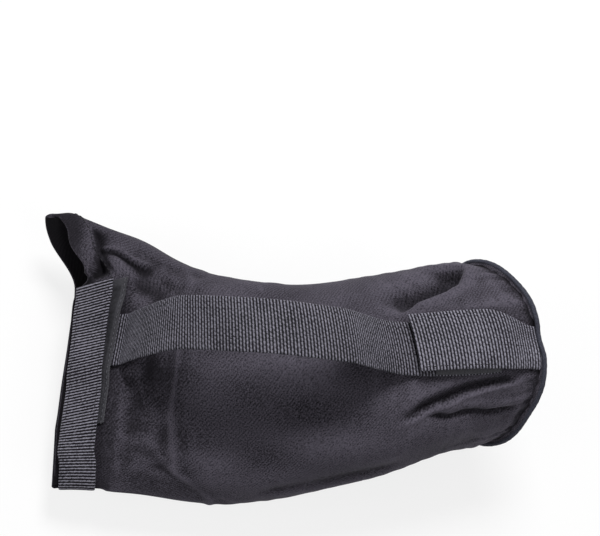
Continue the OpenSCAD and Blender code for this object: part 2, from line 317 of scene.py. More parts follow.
def band_grid(y, v, h, lean=0):
    s = band_line(y, lean)[:, None] - v[None]/sack_len
    y = y[:, None] + 0.16*ease(y, bend_y, bend_y + 18)[:, None]*v[None]
    return over_crown(s, y - centre_y(s), h + foot_bump(y))


def band_foot_grid(k, v):
    s = band_s - v[None]/sack_len + 0*k[:, None]
    start = np.arccos((bend_y - bend_gap - centre_y(s))/half_w(s))
    end = 2*np.pi - np.arccos(foot_under/half_w(s) - 1)
    phi = mix(start, end, k[:, None])
    out = unit(stack(0*s, np.cos(phi)/half_w(s), np.sin(phi)/lip_h(s, phi)))
    h = mix(band_h, lay_gap + webbing_t/2, ease(k, 0, 6/14))[:, None, None]
    return sack_point(s, phi) + out*h


# Mesh building
def corners(*lists):
    """Faces from one list of points for each of their corners."""
    return np.stack(np.broadcast_arrays(*lists), -1)


def cells(rows, cols, first=0, loop=False, flip=False):
    i = np.arange(rows - 1)[:, None]
    j = np.arange(cols if loop else cols - 1)[None]
    a = first + i*cols + j
    b = first + i*cols + (j + 1) % cols
    quads = corners(a, b, b + cols, a + cols).reshape(-1, 4)
    return quads[:, ::-1] if flip else quads


def grid_normals(p, loop=False):
    along = np.gradient(p, axis=0)
    if loop:
        across = np.roll(p, -1, 1) - np.roll(p, 1, 1)
    else:
        across = np.gradient(p, axis=1)
    return unit(np.cross(along, across))


def put(name, data):
    made = bpy.data.objects.new(name, data)
    bpy.context.scene.collection.objects.link(made)
    return made


def piece(name, points, faces, finish, weave=None):
    points = np.asarray(points, float).reshape(-1, 3)
    mesh = bpy.data.meshes.new(name)
    mesh.vertices.add(len(points))
    mesh.vertices.foreach_set("co", (points*MM).astype(np.float32).ravel())
    sizes = np.concatenate([np.full(len(f), f.shape[1]) for f in faces])
    order = np.concatenate([f.ravel() for f in faces]).astype(np.int32)
    mesh.loops.add(len(order))
    mesh.loops.foreach_set("vertex_index", order)
    mesh.polygons.add(len(sizes))
    mesh.polygons.foreach_set("loop_start", np.concatenate([[0], np.cumsum(sizes)[:-1]]).astype(np.int32))
    mesh.polygons.foreach_set("use_smooth", np.ones(len(sizes), bool))
    mesh.update(calc_edges=True)
    mesh.validate()
    if weave is not None:
        layer = mesh.attributes.new("weave", "FLOAT_VECTOR", "POINT")
        layer.data.foreach_set("vector", np.asarray(weave, np.float32).reshape(-1, 3).ravel())
    mesh.materials.append(finish)
    return put(name, mesh)


def slab(upper, lower):
    """Points and faces of a closed strip between two grids."""
    rows, n = upper.shape[:2]
    low = rows*n
    i = np.arange(rows - 1)*n
    j = np.arange(n - 1)
    a, b = i, i + n
    side = corners(low + a, low + b, b, a)
    a, b = i + n - 1, i + 2*n - 1
    other = corners(b, low + b, low + a, a)
    head = corners(j + 1, low + j + 1, low + j, j)
    a = (rows - 1)*n + j
    tail = corners(low + a, low + a + 1, a + 1, a)
    faces = [cells(rows, n, flip=True), cells(rows, n, first=low), side, other, head, tail]
    return listed(upper, lower), faces


def lengths(points):
    """How far along a line each of its points lies."""
    return np.concatenate([[0], np.cumsum(np.linalg.norm(np.diff(points, axis=0), axis=1))])


def read_off(at, run, values):
    """Rows of values that stand at run along a line, read off at other places."""
    return np.stack([np.interp(at, run, values[:, k]) for k in range(values.shape[1])], -1)


def even_rows(dense, step):
    """The rows of a dense grid, laid out again at equal steps along its middle."""
    run = lengths(dense[:, dense.shape[1]//2])
    at = np.linspace(0, run[-1], int(run[-1]/step) + 1)
    rows = read_off(at, run, dense.reshape(len(dense), -1))
    return rows.reshape(len(at), -1, 3), at


def smooth_rows(rows, width):
    """Rounds sharp turns along a strip over about width rows."""
    reach = int(3*width)
    before = 2*rows[:1] - rows[reach:0:-1]
    after = 2*rows[-1:] - rows[-2:-reach - 2:-1]
    long = np.concatenate([before, rows, after])
    weight = np.exp(-0.5*(np.arange(-reach, reach + 1)/width)**2)
    weight /= weight.sum()
    return sum(w*long[k:k + len(rows)] for k, w in enumerate(weight))


def ripple(p, size, seed):
    """A smooth random field over points, about one in height, with features of the given size in mm."""
    rng = np.random.default_rng(seed)
    count = 14
    total = 0
    for _ in range(count):
        k = unit(rng.normal(size=3))*2*np.pi/(size*rng.uniform(0.75, 1.4))
        total = total + np.cos(p @ k + rng.uniform(0, 2*np.pi))
    return total*np.sqrt(2/count)


# Finishes
class Tone:
    """A value in a finish's nodes. Sums and products of it add Math nodes."""

    def __init__(self, tree, socket=None):
        self.tree = tree
        self.socket = socket

    def node(self, kind, settings=None, sockets=None, out=0):
        made = self.tree.nodes.new(kind)
        for name, value in (settings or {}).items():
            setattr(made, name, value)
        for key, value in (sockets or {}).items():
            if isinstance(value, Tone):
                self.tree.links.new(value.socket, made.inputs[key])
            else:
                made.inputs[key].default_value = value
        return Tone(self.tree, made.outputs[out] if len(made.outputs) else None)

    def math(self, operation, *values):
        return self.node("ShaderNodeMath", {"operation": operation}, dict(enumerate(values)))

    def __add__(self, other):
        return self.math("ADD", self, other)

    __radd__ = __add__

    def __sub__(self, other):
        return self.math("SUBTRACT", self, other)

    def __rsub__(self, other):
        return self.math("SUBTRACT", other, self)

    def __mul__(self, other):
        return self.math("MULTIPLY", self, other)

    def __truediv__(self, other):
        return self.math("DIVIDE", self, other)

    def __mod__(self, other):
        return self.math("FLOORED_MODULO", self, other)

    def sine(self):
        return self.math("SINE", self)

    def floor(self):
        return self.math("FLOOR", self)

    def size(self):
        return self.math("ABSOLUTE", self)

    def between(self, low, high):
        """0 below low and 1 above high."""
        return self.node("ShaderNodeMapRange", {"interpolation_type": "SMOOTHSTEP"},
            {"Value": self, "From Min": low, "From Max": high})

    def blend(self, dark, light):
        """A colour from dark at 0 to light at 1."""
        return self.node("ShaderNodeMix", {"data_type": "RGBA"},
            {0: self, 6: (*dark, 1), 7: (*light, 1)}, out=2)


def new_finish(name):
    made = bpy.data.materials.new(name)
    made.use_nodes = True
    made.node_tree.nodes.clear()
    return made, Tone(made.node_tree)


def close(nodes, height, bump, depth, **sockets):
    """Ends a finish in a Principled surface, with the height as its bump."""
    sockets = {key.replace("_", " "): value for key, value in sockets.items()}
    sockets["Normal"] = nodes.node("ShaderNodeBump", None,
        {"Strength": bump, "Distance": depth, "Height": height})
    surface = nodes.node("ShaderNodeBsdfPrincipled", None, sockets)
    nodes.node("ShaderNodeOutputMaterial", None, {"Surface": surface})


def woven_finish(name):
    """A new finish, its nodes, its two thread directions in mm, the third value that a piece carries, and
    all three together."""
    made, nodes = new_finish(name)
    place = nodes.node("ShaderNodeAttribute", {"attribute_name": "weave"}, out="Vector")
    parts = nodes.node("ShaderNodeSeparateXYZ", None, {0: place}).socket.node
    return [made, nodes] + [Tone(nodes.tree, parts.outputs[k]) for k in range(3)] + [place]


def grain(nodes, place, scale, detail, roughness=0.6):
    return nodes.node("ShaderNodeTexNoise", {"noise_dimensions": "3D"},
        {"Vector": place, "Scale": scale, "Detail": detail, "Roughness": roughness})


def plain_weave(name, dark, light, pitch, sheen):
    """Close-woven twill: fine slanting lines, uneven yarn and a cloudy wear."""
    made, nodes, u, v, wear_and_shade, place = woven_finish(name)
    yarn = grain(nodes, place, 1.8, 0.5)
    twill = ((u - v*0.9 + yarn*0.4)*(2*np.pi/pitch)).sine()*0.5 + 0.5
    speck = grain(nodes, place, 2.6, 0.0)
    cloud = grain(nodes, place, 0.05, 4.0)
    woven = (twill - 0.5)*0.2 + (yarn - 0.5)*1.3 + (speck - 0.5)*0.9
    # wear_and_shade lightens rubbed ridges, and darkens the cloth with painted shade in folds, at the neck,
    # beside the webbing and inside
    tone = woven*(wear_and_shade*1.1 + 1).between(0.2, 1.0) + (cloud - 0.5)*0.35 + wear_and_shade + 0.43
    close(nodes, twill*0.6 + speck*0.4 + yarn*0.6, 0.6, 0.00014,
        Base_Color=tone.between(-0.35, 1.1).blend(dark, light),
        Roughness=0.93 - twill*0.12,
        Specular_IOR_Level=0.08, Sheen_Weight=sheen, Sheen_Roughness=0.45, Sheen_Tint=(0.62, 0.6, 0.66, 1))
    return made


def ribbed_webbing(name, dark, light, pitch, beading, valley, bridge):
    """Ribs across the strip, broken into slanting beads in columns along it, with painted shade in the rib
    valleys and painted highlights on the crests. valley is the tone at and below which the colour stays
    darkest, and bridge is how far yarns show between the ribs."""
    made, nodes, along, across, rib, place = woven_finish(name)
    beat = along/pitch
    shift = (beat.floor() % 2.0)*0.5
    bead = ((across/1.8 + shift + (beat % 1.0)*0.25)*np.pi).sine().size()
    column = (across*(np.pi/2.9)).sine().size().between(0.0, 0.3)
    slub = grain(nodes, place, 1.1, 1.0)
    cloud = grain(nodes, place, 0.06, 3.0)
    woven = rib*(bead*beading + (1 - beading))*(column*beading*0.6 + (1 - beading*0.6))
    dash = ((across/2.1 + (beat + 0.5).floor()*0.37)*(2*np.pi)).sine()*0.5 + 0.5
    # rib darkens the valleys as painted shade and lightens the crests as painted highlight
    tone = woven + (1 - rib)*dash*bridge + (slub - 0.5)*0.9 + (cloud - 0.5)*0.4
    close(nodes, bead*0.8 + column*0.4 + slub*0.4, 0.8, 0.00025,
        Base_Color=tone.between(valley, 0.95).blend(dark, light),
        Roughness=0.68 - bead*0.16,
        Specular_IOR_Level=0.1, Sheen_Weight=0.03, Sheen_Roughness=0.4, Sheen_Tint=(0.7, 0.7, 0.76, 1))
    return made


def napped_tape(name, dark, light):
    made, nodes, u, _, edge, place = woven_finish(name)
    fuzz = grain(nodes, place, 1.7, 5.0, 0.75)
    tuft = grain(nodes, place, 0.5, 2.0)
    weft = (u*(2*np.pi/0.7)).sine()*0.5 + 0.5
    nap = fuzz*0.7 + tuft*0.5
    height = nap*(1 - edge) + weft*edge*0.5
    tone = height.between(0.2, 0.9)*0.6 + edge*0.5
    close(nodes, height, 0.8, 0.0003, Base_Color=tone.blend(dark, light),
        Roughness=0.95 - edge*0.3, Specular_IOR_Level=0.3, Sheen_Weight=0.15, Sheen_Roughness=0.5,
        Sheen_Tint=(0.6, 0.6, 0.64, 1))
    return made


def moulded_hooks(name, dark, light):
    made, nodes, _, _, hook, place = woven_finish(name)
    scuff = grain(nodes, place, 0.6, 4.0)
    tone = scuff*0.8 + hook*0.3
    close(nodes, scuff, 0.25, 0.0001, Base_Color=tone.between(0.2, 0.9).blend(dark, light),
        Roughness=0.42 + scuff*0.2, Specular_IOR_Level=0.45)
    return made


def twisted_thread(name, dark, light):
    made, nodes, u, v, _, place = woven_finish(name)
    ply = ((u*2.6 + v)*np.pi).sine()*0.5 + 0.5
    fray = grain(nodes, place, 2.4, 2.0)
    tone = ply*0.7 + fray*0.4
    close(nodes, ply, 0.6, 0.0001, Base_Color=tone.between(0.1, 1.0).blend(dark, light),
        Roughness=0.8 - ply*0.2, Specular_IOR_Level=0.2, Sheen_Weight=0.04)
    return made


def cloudy_film(name):
    made, nodes, *_, place = woven_finish(name)
    haze = grain(nodes, place, 0.08, 4.0)
    crinkle = grain(nodes, place, 0.35, 5.0, 0.7)
    close(nodes, crinkle, 0.5, 0.0006,
        Base_Color=haze.between(0.3, 0.7).blend((0.6, 0.61, 0.64), (0.8, 0.8, 0.82)),
        Roughness=0.32 + haze*0.25, Specular_IOR_Level=0.5, Coat_Weight=0.2)
    return made


def dry_sand(name):
    made, nodes, *_, place = woven_finish(name)
    grains = nodes.node("ShaderNodeTexVoronoi", {"feature": "F1"}, {"Vector": place, "Scale": 1.6})
    shade = grain(nodes, place, 1.4, 5.0, 0.8)
    drift = grain(nodes, place, 0.06, 3.0)
    tone = shade*0.7 + drift*0.3 + (1 - grains)*0.2
    close(nodes, (1 - grains) + shade*0.5, 0.8, 0.0005,
        Base_Color=tone.between(0.35, 0.85).blend((0.36, 0.28, 0.18), (0.72, 0.62, 0.46)),
        Roughness=0.94 - shade*0.08, Specular_IOR_Level=0.3)
    return made


sack_cloth = plain_weave("sack cloth", (0.003, 0.0026, 0.0036), (0.092, 0.084, 0.107), 1.5, 0.06)
lining_cloth = plain_weave("piping cloth", (0.004, 0.004, 0.006), (0.066, 0.068, 0.09), 1.4, 0.1)
strap_webbing = ribbed_webbing("strap webbing", (0.005, 0.005, 0.007), (0.182, 0.175, 0.212),
    strap_pitch, beading=0.34, valley=0.25, bridge=0.12)
# The tab webbing is the strap webbing made lighter: the gap between their colours is painted light
tab_webbing = ribbed_webbing("tab webbing", (0.009, 0.009, 0.012), (0.235, 0.227, 0.275),
    strap_pitch, beading=0.34, valley=0.23, bridge=0.12)
band_webbing = ribbed_webbing("band webbing", (0.002, 0.002, 0.003), (0.225, 0.217, 0.262),
    band_pitch, beading=0.08, valley=0.45, bridge=0.2)
loop_nap = napped_tape("loop tape", (0.004, 0.004, 0.005), (0.046, 0.045, 0.055))
hook_plastic = moulded_hooks("hook tape", (0.008, 0.008, 0.009), (0.03, 0.03, 0.033))
black_thread = twisted_thread("black thread", (0.004, 0.004, 0.005), (0.026, 0.025, 0.03))
grey_thread = twisted_thread("grey thread", (0.03, 0.03, 0.035), (0.13, 0.128, 0.148))
cotton_cord = twisted_thread("cotton cord", (0.34, 0.33, 0.3), (0.66, 0.65, 0.61))
pouch_film = cloudy_film("pouch film")
tie_plastic = moulded_hooks("tie plastic", (0.6, 0.6, 0.6), (0.86, 0.86, 0.85))
fine_sand = dry_sand("fine sand")


# Sack: stations along it, and the fields that shape its cloth
round_n = 330
along_n = 220
coarse = 3
settle_scale = 10
settle_frames = 30
side_seam = 3.75
phi = full_turn(round_n)[None]
along = np.linspace(0, 1, along_n)[:, None]
s = along*edge_s(phi)
width = half_w(s)
girth = phi*base_r
yo = width*np.cos(phi)
yw = yo + centre_y(s)
on_top = ease(np.sin(phi), 0, 0.1)


def covered():
    """1 where webbing or tape lies on the sack, easing to 0 beside it."""
    tab = fall(np.abs(yo - tab_y(s)), 11.8, 15)*fall(s, tab_tip_s, tab_tip_s + 0.04)
    flat = fall(np.abs(yo - strap_y(s)), 11.8, 15)*fall(s, touch_s, touch_s + 0.05)
    foot = fall(np.abs(yw - foot_y), 12.5, 18)*ease(s, foot_s - 0.05, foot_s - 0.01)
    off = np.abs(s - band_line(yw))*sack_len
    tip = bend_y + band_len
    band = fall(off, 13, 17)*ease(yw, bend_y - 20, bend_y - 12)*fall(yw, tip + 1, tip + 4)
    wrap = fall(np.abs(s - band_s)*sack_len, 9.5, 13)
    wrap = wrap*ease(phi, 2.5, 2.65)*fall(phi, 4.1, 4.25)
    return np.maximum.reduce([tab*on_top, flat*on_top, foot*on_top, band*on_top, wrap])


def fold(path, depth, near, far, near_lip=0.0, far_lip=0.0, step=0.0, tail=0.2):
    """A valley along a path of (s, degrees). near and far are its widths on its two sides, each lip raises
    a ridge beside it, and step lays the far side over the near one."""
    best = np.full(s.shape, 1e9)
    side = np.ones(s.shape)
    reach = np.zeros(s.shape)
    count = len(path) - 1
    q = np.stack([s*sack_len, phi*width], -1)
    for k in range(count):
        (s0, p0), (s1, p1) = path[k], path[k + 1]
        a = np.stack([0*s + s0*sack_len, np.radians(p0)*width], -1)
        d = np.stack([0*s + (s1 - s0)*sack_len, np.radians(p1 - p0)*width], -1)
        t = np.clip(((q - a)*d).sum(-1)/(d*d).sum(-1), 0, 1)
        gap = np.linalg.norm(q - a - t[..., None]*d, axis=-1)
        turn = d[..., 0]*(q - a)[..., 1] - d[..., 1]*(q - a)[..., 0]
        closer = gap < best
        best = np.where(closer, gap, best)
        side = np.where(closer, np.sign(turn), side)
        reach = np.where(closer, (k + t)/count, reach)
    d = best*side
    valley = np.exp(-(d/np.where(d < 0, near, far))**2)
    ridges = near_lip*np.exp(-((d + 2*near)/(1.3*near))**2) + far_lip*np.exp(-((d - 2*far)/(1.3*far))**2)
    pleat = step*np.tanh(d/0.7)*np.exp(-best/7)
    fade = ease(reach, 0, tail)*fall(reach, 1 - tail, 1)
    return fade*(ridges + pleat - depth*valley)


def big_folds():
    """Height in mm of the folds that the filling and the sewn ends leave in the cloth."""
    hem_valley = [(0.902, 18), (0.902, 34), (0.908, 46), (0.917, 60), (0.925, 78)]
    hem_dent = [(0.905, 46), (0.912, 55), (0.92, 66), (0.926, 82)]
    neck_pleat = [(0.909, 43), (0.883, 40), (0.867, 39), (0.849, 40),
        (0.833, 42), (0.813, 43), (0.797, 42), (0.759, 34)]
    hollow = [(0.255, 66), (0.210, 58), (0.174, 56), (0.140, 54), (0.111, 50), (0.077, 40), (0.060, 34)]
    slant = [(0.285, 126), (0.250, 125), (0.218, 123), (0.180, 122),
        (0.143, 121), (0.100, 121), (0.058, 122), (0.03, 123)]
    pleat = [(0.235, 126), (0.202, 129), (0.178, 133), (0.150, 134),
        (0.125, 136), (0.092, 141), (0.060, 143), (0.015, 146)]
    low_flank = [(0.560, 160), (0.458, 158), (0.325, 162), (0.230, 166)]
    return sum(fold(path, *shape) for path, shape in (
        (hem_valley, (5.2, 1.6, 5.0, 0.5, 0.0, 0.0, 0.3)),
        (hem_dent, (3.4, 1.5, 4.0, 0.5, 0.0, 0.0, 0.25)),
        (neck_pleat, (1.8, 3.6, 1.0, 0.5, 0.8, 0.8)),
        (hollow, (8.5, 2.2, 8.5, 1.6)),
        (slant, (5.0, 1.3, 3.0, 1.0, 0.3, 0.0, 0.3)),
        (pleat, (2.4, 1.2, 1.8, 0.0, 0.5, 0.8)),
        (low_flank, (1.8, 4.0, 6.0, 0.0, 0.4))))


def small_folds(plain):
    """Height in mm of the puckers at the base seam, the draws at the neck and the hem."""
    run = s*sack_len
    gather = waves(phi, ((29, 0.5, 0.3), (41, 0.42, 1.9), (53, 0.3, 4.1), (17, 0.35, 2.2)))
    gather = gather*np.exp(-run/9)*ease(run, 0, 2.5)*0.7
    draw = waves(phi, ((7, 0.6, 0.4), (11, 0.7, 2.0), (16, 0.5, 5.0), (23, 0.35, 1.1)), 3*s)
    draw = draw*ease(s, 0.5, 0.8)*fall(s, 0.86, 0.95)*0.45
    soft = 0.5*ripple(plain*[0.6, 1, 1], 24, 5)*ease(s, 0, 0.12)*(1 - 0.5*ease(s, 0.85, 1))
    hem = ease(along, 1 - (hem_len + 1.2)/sack_len, 1 - (hem_len - 0.4)/sack_len)
    groove = np.exp(-((along - 1 + (hem_len + 0.8)/sack_len)*sack_len/1.3)**2)
    groove = groove*fall(np.cos(phi), 0.75, 0.95)
    off = (phi - side_seam)*base_r
    sewn = 0.3*np.tanh(off/0.6)*np.exp(-np.abs(off)/4) - 0.7*np.exp(-(off/0.8)**2)
    return gather + draw + soft + 0.45*hem - 0.8*groove + sewn*fall(s, 0.92, 0.96)


def blurred(field, rows, cols):
    """A field on the sack's grid, smoothed over about rows and cols cells. It closes round the sack."""
    for axis, spread in ((0, rows), (1, cols)):
        n = field.shape[axis]
        reach = int(3*spread) + 1
        total = 0
        whole = 0
        for k in range(-reach, reach + 1):
            at = np.arange(n) + k
            at = np.clip(at, 0, n - 1) if axis == 0 else at % n
            weight = np.exp(-0.5*(k/spread)**2)
            total = total + weight*np.take(field, at, axis)
            whole += weight
        field = total/whole
    return field


cloth_settings = {"quality": 6, "mass": 0.3, "tension_stiffness": 30, "compression_stiffness": 20,
    "shear_stiffness": 10, "bending_stiffness": 0.25, "tension_damping": 12, "compression_damping": 12,
    "air_damping": 2, "vertex_group_mass": "sewn", "shrink_min": -0.035}


def settled(shape, sewn, bed):
    """How far the sack's cloth moves, in mm, as it settles on its filling. The three grids are the cloth,
    how firmly it is held, and the filling. It settles at settle_scale times its size."""
    rows, n = shape.shape[:2]
    quads = [cells(rows, n, loop=True, flip=True)]
    cloth = piece("settling_cloth", shape*settle_scale, quads, sack_cloth)
    filling = piece("settling_bed", bed*settle_scale, quads, sack_cloth)
    group = cloth.vertex_groups.new(name="sewn")
    for k, weight in enumerate(sewn.ravel()):
        group.add([k], float(weight), "REPLACE")
    filling.modifiers.new("bed", "COLLISION")
    filling.collision.thickness_outer = 0.004
    filling.collision.cloth_friction = 15
    drape = cloth.modifiers.new("drape", "CLOTH")
    for name, value in cloth_settings.items():
        setattr(drape.settings, name, value)
    drape.collision_settings.distance_min = 0.005
    drape.collision_settings.collision_quality = 2
    scene = bpy.context.scene
    for step in range(1, settle_frames + 1):
        scene.frame_set(step)
    made = cloth.evaluated_get(bpy.context.evaluated_depsgraph_get()).to_mesh()
    place = np.empty(rows*n*3, np.float32)
    made.vertices.foreach_get("co", place)
    moved = place.reshape(rows, n, 3).astype(float)*(1000/settle_scale) - shape
    for used in (cloth, filling):
        mesh = used.data
        bpy.data.objects.remove(used)
        bpy.data.meshes.remove(mesh)
    scene.frame_set(1)
    return moved


def finer(field):
    """A coarse field on the sack's grid, spread over all of its cells."""
    rows = np.arange(along_n)/coarse
    low = np.minimum(rows.astype(int), field.shape[0] - 2)
    t = (rows - low)[:, None, None]
    field = field[low]*(1 - t) + field[low + 1]*t
    cols = np.arange(round_n)/coarse
    left = cols.astype(int)
    t = (cols - left)[None, :, None]
    field = field[:, left]*(1 - t) + field[:, (left + 1) % field.shape[1]]*t
    return blurred(field, 1.6, 1.6)


plain = sack_point(s, phi)
corner = np.maximum(0, np.cos(phi))**2
plain[..., 0] += 1.6*corner*ease(s, 0.9, 1)
plain[..., 1] += corner*(1.3*swell(s, 0.88, 0.07) - 2.0*ease(s, 0.95, 1))
outward = grid_normals(plain, loop=True)
held = covered()
relief = (big_folds() + small_folds(plain))*(1 - held) - shoulder(s) + seam_sag(s, phi)
sack = plain + outward*relief[..., None]
loose = 0.8 + 4.0*ease(s, 0.6, 0.85)*on_top
sewn = np.maximum(np.maximum(held, fall(s*sack_len, 1, 5)), ease(along, 0.9, 0.95))
sewn = np.maximum(sewn, ease(np.abs(np.cos(phi)), 0.8, 0.95)*ease(s, 0.6, 0.75))
pick = (slice(None, None, coarse), slice(None, None, coarse))
move = finer(settled(plain[pick], sewn[pick], sack_point(s, phi, loose)[pick]))
far = np.linalg.norm(move, axis=-1, keepdims=True)
sack = sack + move*(1 - sewn)[..., None]/(1 + (far/6)**4)**0.25
sack[..., 2] = np.maximum(sack[..., 2], 0.02)
height = ((sack - plain)*outward).sum(-1)

# How far the cloth lies inside its plain shape, at most, near each point
near = range(-5, 6)
dip = np.maximum(0, -height)
dip = np.maximum.reduce([np.roll(dip, k, 1) for k in near])
dip = np.maximum.reduce([dip[np.clip(np.arange(along_n) + k, 0, along_n - 1)] for k in near])
dip = blurred(dip, 2.5, 2.5)

# Runs of the weave round the sack's tucked edge and round its rim, the painted shade in the tuck and
# inside, and a fixed tone round the rim
tuck_run = [-2.2, -1.4, -0.6]
rim_run = [0.6, 1.2, 1.8, 2.4, 3]
# Painted shade in the tuck at the base seam
tuck_shade = -0.9
rim_tone = -0.25
# Painted shade inside the sack
inside_shade = -1.0


def sack_shell(outer):
    """Rings of the sack's wall: tucked in at the base seam, out to the mouth, round its rim and back in."""
    normal = grid_normals(outer, loop=True)
    seam = unit(outer[0] - base_hub)*(seam_r + seam_sag(0, phi[0]))[:, None]
    tuck = [base_hub + seam*k + base_axis*x for k, x in ((0.95, 2.5), (1, 1.95), (0.97, 0.95))]
    deep = ease(along, 1 - hem_len/sack_len, 1 - (hem_len - 0.7)/sack_len)
    inner = outer - normal*(fabric_t*(1 + 1.1*deep))[..., None]
    inner[..., 2] = np.maximum(inner[..., 2], 0.9)
    middle = (outer[-1] + inner[-1])/2
    half = (outer[-1] - inner[-1])/2
    out = unit(outer[-1] - outer[-3])*np.linalg.norm(half, axis=-1, keepdims=True)
    rim = [middle + half*np.cos(a) + out*np.sin(a) for a in np.radians([30, 60, 90, 120, 150])]
    last = [base_hub + (inner[0] - base_hub)*0.985]
    return np.concatenate([tuck, outer, rim, inner[::-1], last])


def sack_wear_and_shade(count):
    """How light each ring of the wall is: lighter on ridges as rubbed wear, with painted shade in folds,
    towards the neck and mouth, beside the webbing, along the base seam and inside.
    """
    # Curvature of the cloth: lighter on ridges as rubbed wear, darker in folds as painted shade
    rub_and_shade = 0.3*(height - blurred(height, 5, 5))
    rub_and_shade = rub_and_shade + 0.05*(height - blurred(height, 15, 15))*fall(s, 0.5, 0.65)
    # Painted shade along the base seam, over the first 2 mm of cloth
    rub_and_shade = np.clip(rub_and_shade, -0.35, 0.25) - 0.35*fall(s*sack_len, 0, 2)
    first = len(tuck_run)
    rim = first + along_n
    wear_and_shade = np.full((count, round_n), tuck_shade)
    # Painted shade towards the neck and over the hem, and a painted contact shadow beside the webbing and
    # tapes
    wear_and_shade[first:rim] = rub_and_shade - 0.16*ease(s, 0.62, 0.82) - 0.3*ease(s, 0.9, 0.95) - 0.2*held
    wear_and_shade[rim:rim + len(rim_run)] = rim_tone
    wear_and_shade[rim + len(rim_run):] = inside_shade
    return wear_and_shade


def build_sack():
    rings = sack_shell(sack)
    count = len(rings)
    j = np.arange(round_n)
    k = (j + 1) % round_n
    last = (count - 1)*round_n
    faces = [cells(count, round_n, loop=True, flip=True), corners(last + k, k, j, last + j)]
    length = (along*sack_len).ravel()
    run = np.concatenate([tuck_run, length, sack_len + np.array(rim_run), sack_len + 3.6 + length,
        [2*sack_len + 6]])
    weave = stack(run[:, None], girth, sack_wear_and_shade(count))
    sack_body = piece("sack", rings, faces, sack_cloth, weave)
    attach(sack_body, "bag")
    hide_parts("body_panel")


build_sack()


# Base panel and piping
def build_base():
    turn = full_turn(240)[None]
    r = (np.linspace(0, 1, 70)**0.8*seam_r)[1:, None]
    sphere_r = (base_edge_r**2 + base_dome**2)/(2*base_dome)
    dome = np.maximum(-0.2, np.sqrt(np.maximum(0, sphere_r**2 - r**2)) - sphere_r + base_dome)
    wide = r + seam_sag(0, turn)*(r/seam_r)**3
    x = wide*np.cos(turn)
    y = wide*np.sin(turn)
    rim = np.exp(-((seam_r - r)/7))
    pucker = waves(turn, ((31, 0.35, 0.6), (43, 0.3, 2.7), (57, 0.22, 4.4), (19, 0.3, 1.2)))
    flat = stack(x, y, 0*x)
    z = dome + pucker*rim*0.8*fall(rim, 0.75, 1) + 0.35*ripple(flat, 24, 9)
    z = z + 0.5*ripple(flat, 42, 11)*(1 - rim)
    z = z - 0.35*ease(rim, 0.72, 1)
    upper = on_base(x, y, z)
    lower = on_base(x*0.998, y*0.998, z - fabric_t*(1 - 0.75*ease(rim, 0.8, 1)))
    rows, n = upper.shape[:2]
    points = listed(upper, lower, upper[0].mean(0), lower[0].mean(0))
    j = np.arange(n)
    k = (j + 1) % n
    low = rows*n
    last = (rows - 1)*n
    top = corners(j, k, 2*low)
    under = corners(low + k, low + j, 2*low + 1)
    edge = corners(last + j, low + last + j, low + last + k, last + k)
    faces = [cells(rows, n, loop=True, flip=True), cells(rows, n, first=low, loop=True), top, under, edge]
    made = piece("base_panel_cloth", points, faces, sack_cloth, listed(flat, flat, np.zeros((2, 3))))
    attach(made, "bag")
    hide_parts("base_panel")


def ring_tube(name, points, weave, finish):
    """A closed tube through rings of points, the last of them joined to the first."""
    rows, n = points.shape[:2]
    j = np.arange(n)
    k = (j + 1) % n
    last = (rows - 1)*n
    join = corners(last + j, last + k, k, j)
    return piece(name, points, [cells(rows, n, loop=True), join], finish, weave)


def build_piping():
    turn = full_turn(420)[:, None]
    spot = stack(pipe_ring_r*np.cos(turn), pipe_ring_r*np.sin(turn), 0*turn)
    middle = pipe_ring_r + 0.42*piping_r + seam_sag(0, turn) + 0.12*ripple(spot, 30, 23)

    def round_base(r, a):
        ring = middle + r*np.cos(a)
        return on_base(ring*np.cos(turn), ring*np.sin(turn), r*np.sin(a) + 0*turn)

    a = full_turn(20)[None]
    crimp = 0.03*np.cos(97*turn + 2*np.sin(7*turn)) + 0.06*ripple(spot, 9, 21) + 0.03*np.cos(61*turn + a)
    cover = round_base(0.58*piping_r + crimp*(0.5 + 0.5*np.cos(a - 0.6)), a)
    made = ring_tube("piping", cover, stack(turn*pipe_ring_r, a*piping_r, 0.12), lining_cloth)
    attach(made, "bag")
    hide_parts("piping_cover")
    a = full_turn(18)[None]
    lay = 0.46*piping_r*(0.86 + 0.14*np.abs(np.cos(1.5*(a + 90*turn))))
    made = ring_tube("piping_core", round_base(lay, a), stack(turn*pipe_ring_r, a, 0), cotton_cord)
    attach(made, "bag")
    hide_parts("piping_cord")


build_base()
build_piping()


# Webbing
rib_deep = 0.42


def webbing(name, dense, width, pitch, finish, slack=8):
    """A ribbed strip along a dense grid of middle points. slack is how many rows its bends round over."""
    rows, at = even_rows(dense, pitch/6)
    rows = smooth_rows(rows, slack)
    v = columns(width, rows.shape[1])[None]
    normal = grid_normals(rows)
    sideways = unit(np.gradient(rows, axis=1))
    beat = (at/pitch)[:, None]
    rib, back = (np.sqrt(np.maximum(0, 1 - 0.97*(2*(b % 1) - 1)**2)) for b in (beat, beat + 0.5))
    edge = np.sqrt(np.maximum(0, 1 - np.abs(2*v/width)**9))
    thick = webbing_t/2*(0.42 + 0.58*edge)
    rows = rows + sideways*(np.sign(v)*(1 - edge)*0.14*(rib - 0.5))[..., None]
    upper = rows + normal*(thick - rib_deep*(1 - rib))[..., None]
    lower = rows - normal*(thick - rib_deep*(1 - back))[..., None]
    points, faces = slab(upper, lower)
    # crest goes to the finish, where it paints shade into the rib valleys and highlights onto the crests
    crest = 0.5 - 0.5*np.cos(2*np.pi*beat)
    place = listed(stack(at[:, None], v, crest), stack(at[:, None], v, 1 - crest))
    return piece(name, points, faces, finish, place)


